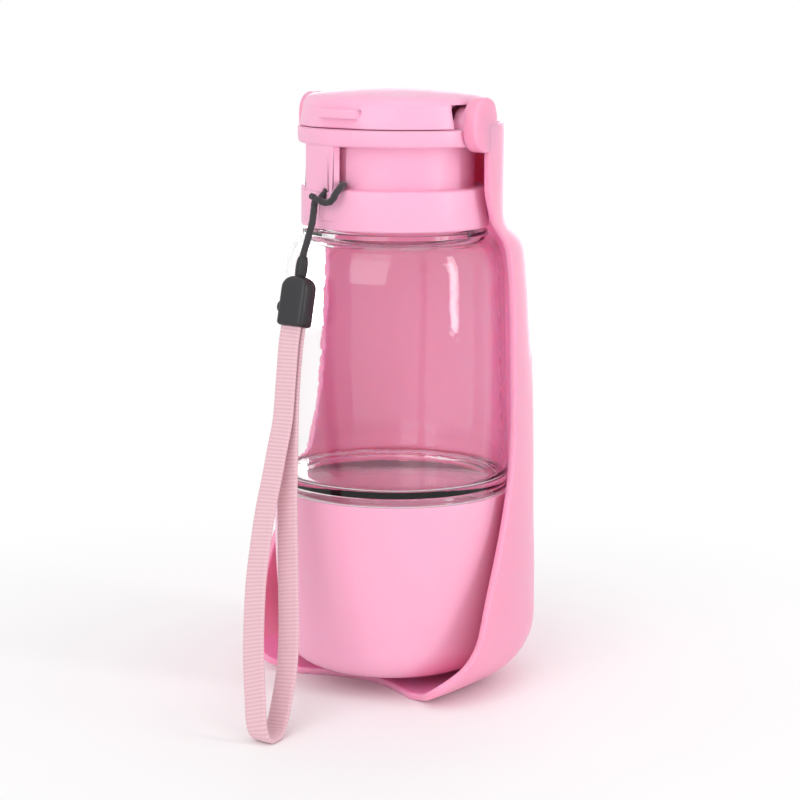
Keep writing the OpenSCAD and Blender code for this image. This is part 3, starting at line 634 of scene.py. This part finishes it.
for j in range(ARC_POINTS - 1):
    quad = (rim_first - j, rim_first - j - 1, rim_last + j + 1, rim_last + j)
    trough_faces.append([top + k for k in quad])
    trough_faces.append([top + (count - k) % count for k in quad])
trough = mesh_object("trough_shell", [np.array(q) * MM for q in trough_points], trough_faces)


def outward(piece, sharp=35):
    """Merges doubled points, turns every face outward and keeps the edges that are sharper crisp."""
    tidy = bmesh.new()
    tidy.from_mesh(piece.data)
    bmesh.ops.remove_doubles(tidy, verts=tidy.verts, dist=1e-6)
    bmesh.ops.recalc_face_normals(tidy, faces=tidy.faces)
    tidy.to_mesh(piece.data)
    tidy.free()
    piece.data.set_sharp_from_angle(angle=math.radians(sharp))


outward(trough)
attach(trough, "trough")
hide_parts("trough")

# Each ear is a thick boss with two round ends, flush with the wall's skin, and its inner face has
# the blind hole that turns on the pin.
PIVOT_Z = 192.2
EAR_X, EAR_R, EAR_STRAIGHT, EAR_SKIN_R = 32, 7, 2, 37.1
PIN_HOLE_R, PIN_HOLE_DEPTH = 2.55, 3
# Each ring: radius, half the straight stretch, and either a depth from the inner face or the skin
EAR_RINGS = [
    (0.01, 0, PIN_HOLE_DEPTH, False), (PIN_HOLE_R, 0, PIN_HOLE_DEPTH, False), (PIN_HOLE_R, 0, 0, False),
    (EAR_R - 0.5, EAR_STRAIGHT, 0, False), (EAR_R - 0.15, EAR_STRAIGHT, 0.15, False),
    (EAR_R, EAR_STRAIGHT, 0.5, False), (EAR_R, EAR_STRAIGHT, -0.8, True),
    (EAR_R - 0.25, EAR_STRAIGHT, -0.25, True), (EAR_R - 0.8, EAR_STRAIGHT, 0, True),
    (EAR_R / 2, EAR_STRAIGHT / 2, 0, True), (0.01, 0, 0, True),
]


def ear_ring(side, radius, straight, depth, on_skin):
    """One ring of an ear, in millimetres, on the skin's curve or at a depth from the inner face."""
    ring = []
    for a in np.linspace(0, 2 * math.pi, 64, endpoint=False) + math.pi / 64:
        y, z = radius * math.cos(a), radius * math.sin(a) + math.copysign(straight, math.sin(a))
        x = math.sqrt(EAR_SKIN_R**2 - y * y) + depth if on_skin else EAR_X + depth
        ring.append(Vector((side * x, y, PIVOT_Z + z)) * MM)
    return ring


ears = []
for side, name in ((-1, "left"), (1, "right")):
    ear = mesh_object(f"trough_ear_{name}", *skin([ear_ring(side, *ring) for ring in EAR_RINGS]))
    outward(ear)
    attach(ear, "trough")
    ears.append(ear)

trough_finish = moulded_pink("pink_polypropylene_trough", "#f2a3c1", 0.38, 0.1, 0.9, 3.2)
for piece in (trough, *ears):
    dress(piece, trough_finish)
# The hollow side only sees light that has been through the plastic and bounced off its pink walls. That light
# is painted in: the same plastic, given a deeper pink.
# The hollow side is the floor's upper skin and the part of the wall that faces a line a little in front of
# the axis.
HOLLOW_Y = -10 * MM
UPWARD, FACING = 0.7, 0.6
# Painted light: a deeper, more saturated pink copy of the trough's plastic, on its inner faces, standing in
# for the light bounced inside.
trough.data.materials.append(moulded_pink("pink_polypropylene_painted_interreflection", "#ff9dca", 0.38, 0, 0.9, 3.2))
for face in trough.data.polygons:
    out = Vector((face.center.x, max(0, face.center.y) - HOLLOW_Y, 0))
    on_floor = face.normal.z > UPWARD and face.center.z < FLOOR_CURVE_Z * MM
    facing_in = face.center.y > 0 and face.normal.dot(out) < -FACING * out.length
    face.material_index = int(on_floor or facing_in)
for pin in ("trough_pin_left", "trough_pin_right"):
    dress(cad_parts[pin], cup_finish)


# Cap and lid
# The cap is a satin pink moulding that screws onto the neck: a band, a narrower waist with the
# bar that the lanyard is tied to, and a deck with the spout. The lid turns on a steel pin behind.
EDGE = 0.35 * MM
ROUNDED_ANGLE, CRISP_ANGLE = math.radians(32), math.radians(38)


def softened(name, node, body):
    """A copy of a CAD solid whose edges are rounded as a mould leaves them, and which stands for it."""
    made = bpy.data.objects.new(name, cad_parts[node].data.copy())
    bpy.context.collection.objects.link(made)
    tidy = bmesh.new()
    tidy.from_mesh(made.data)
    bmesh.ops.remove_doubles(tidy, verts=tidy.verts, dist=3e-6)
    bmesh.ops.dissolve_limit(tidy, angle_limit=math.radians(0.8), verts=tidy.verts, edges=tidy.edges)
    # A large flat face with many corners would overlap itself once its edges are rounded
    bmesh.ops.triangulate(tidy, faces=[face for face in tidy.faces if len(face.verts) > 4])
    bmesh.ops.recalc_face_normals(tidy, faces=tidy.faces)
    tidy.to_mesh(made.data)
    tidy.free()
    rounding = made.modifiers.new("rounding", "BEVEL")
    rounding.width = EDGE
    rounding.segments = 3
    rounding.limit_method = "ANGLE"
    rounding.angle_limit = ROUNDED_ANGLE
    rounding.use_clamp_overlap = False
    bpy.context.view_layer.update()
    shape = made.evaluated_get(bpy.context.evaluated_depsgraph_get())
    made.data = bpy.data.meshes.new_from_object(shape)
    made.modifiers.clear()
    made.data.polygons.foreach_set("use_smooth", [True] * len(made.data.polygons))
    made.data.set_sharp_from_angle(angle=CRISP_ANGLE)
    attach(made, body)
    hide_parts(node)
    return made


cap = softened("cap_moulding", "cap_body", "cap")
lid = softened("lid_moulding", "lid", "lid")
cap_finish = moulded_pink("pink_polypropylene_cap", "#f9b3d1", 0.42, 0.1, 0.4)
dress(cap, cap_finish)
dress(lid, cap_finish)


# Seals and hinge pin
# Silicone rings seal the mouth, the spout and the cup, and the lid turns on a drawn steel pin.
def silicone_rubber():
    # Moulded silicone: milky, soft and slightly dusty to the eye.
    made, tree, shader = new_material("silicone_rubber", Base_Color=linear("#efeaec"), Roughness=0.5,
                                      IOR=1.41, Subsurface_Weight=0.4, Subsurface_Scale=2 * MM)
    dust = add_node(tree, "ShaderNodeTexNoise", {"Scale": 1200.0, "Detail": 3.0}).outputs["Fac"]
    bump = add_node(tree, "ShaderNodeBump", {"Height": dust, "Strength": 0.1, "Distance": 0.02 * MM})
    tree.links.new(bump.outputs[0], shader.inputs["Normal"])
    return made


def drawn_steel():
    # Stainless steel wire: fine drawing marks run along the pin, which lies across the bottle.
    made, tree, shader = new_material("drawn_stainless_steel", Base_Color=linear("#c9c8c6"), Metallic=1.0)
    place = add_node(tree, "ShaderNodeTexCoord").outputs["Object"]
    drawn = add_node(tree, "ShaderNodeMapping", {"Vector": place, "Scale": (60.0, 4000.0, 4000.0)})
    marks = add_node(tree, "ShaderNodeTexNoise", {"Vector": drawn.outputs[0], "Scale": 1.0}).outputs["Fac"]
    rough = add_node(tree, "ShaderNodeMapRange", {"Value": marks, "To Min": 0.2, "To Max": 0.4})
    tree.links.new(rough.outputs[0], shader.inputs["Roughness"])
    return made


silicone = silicone_rubber()
for seal in ("mouth_gasket", "lid_seal", "cup_gasket"):
    dress(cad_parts[seal], silicone)
dress(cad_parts["lid_hinge_pin"], drawn_steel())


# Floor
# A matt white table top that shades off to the plain white background away from the bottle.
floor_mesh = bpy.data.meshes.new("floor")
FLOOR_HALF = 4
floor_corners = [(x * FLOOR_HALF, y * FLOOR_HALF, 0) for x, y in ((-1, -1), (1, -1), (1, 1), (-1, 1))]
floor_mesh.from_pydata(floor_corners, [], [(0, 1, 2, 3)])
floor = bpy.data.objects.new("floor", floor_mesh)
bpy.context.collection.objects.link(floor)
table_top, tree, shader = new_material("matt_white_table", Base_Color=linear("#fbfafa"), Roughness=0.9)
place = add_node(tree, "ShaderNodeTexCoord").outputs["Object"]
distance = add_node(tree, "ShaderNodeVectorMath", {0: place}, operation="LENGTH").outputs["Value"]
far = add_node(tree, "ShaderNodeMapRange", {"Value": distance, "From Min": 0.08, "From Max": 0.26}).outputs[0]
rays = add_node(tree, "ShaderNodeLightPath").outputs
seen = add_node(tree, "ShaderNodeMath", {0: rays["Is Camera Ray"], 1: rays["Is Glossy Ray"]},
                operation="MAXIMUM")
seen = add_node(tree, "ShaderNodeMath", {0: seen.outputs[0], 1: rays["Is Transmission Ray"]},
                operation="MAXIMUM")
share = add_node(tree, "ShaderNodeMath", {0: far, 1: seen.outputs[0]}, operation="MULTIPLY").outputs[0]
white = add_node(tree, "ShaderNodeEmission", {"Color": linear("#ffffff"), "Strength": 1.0}).outputs[0]
mixed = add_node(tree, "ShaderNodeMixShader", {0: share, 1: shader.outputs[0], 2: white}).outputs[0]
tree.links.new(mixed, tree.nodes["Material Output"].inputs["Surface"])
dress(floor, table_top)


# Studio light
# Large soft boxes left and right of the camera, one above, and a weak one behind that glows through
# the trough's wall, in an even white surround.
def soft_box(name, azimuth, elevation, distance, width, height, watts):
    """A rectangular lamp that faces the middle of the bottle from that direction, in degrees."""
    light = bpy.data.lights.new(name, "AREA")
    light.shape = "RECTANGLE"
    light.size, light.size_y, light.energy = width, height, watts
    a, e = math.radians(azimuth), math.radians(elevation)
    away = Vector((math.sin(a) * math.cos(e), -math.cos(a) * math.cos(e), math.sin(e)))
    lamp = bpy.data.objects.new(name, light)
    lamp.location = away * distance + Vector((0, 0, 0.1))
    lamp.rotation_euler = away.to_track_quat("Z", "Y").to_euler()
    bpy.context.collection.objects.link(lamp)


soft_box("left_box", 8, 22, 1.1, 0.8, 0.9, 4.3)
soft_box("right_box", 100, 12, 1.0, 0.16, 0.7, 2.6)
soft_box("top_box", 36, 78, 1.1, 0.8, 0.8, 1.9)
soft_box("back_box", 205, 4, 0.8, 0.6, 0.4, 2.5)

surround = bpy.data.worlds.new("studio")
bpy.context.scene.world = surround
surround.use_nodes = True
tree = surround.node_tree
rays = add_node(tree, "ShaderNodeLightPath").outputs
seen = add_node(tree, "ShaderNodeMath", {0: rays["Is Camera Ray"], 1: rays["Is Glossy Ray"]},
                operation="MAXIMUM")
seen = add_node(tree, "ShaderNodeMath", {0: seen.outputs[0], 1: rays["Is Transmission Ray"]},
                operation="MAXIMUM")
level = add_node(tree, "ShaderNodeMapRange", {"Value": seen.outputs[0], "To Min": 0.62, "To Max": 1.0})
background = tree.nodes["Background"]
background.inputs["Color"].default_value = linear("#ffffff")
tree.links.new(level.outputs[0], background.inputs["Strength"])
bpy.context.scene.view_settings.view_transform = "Standard"
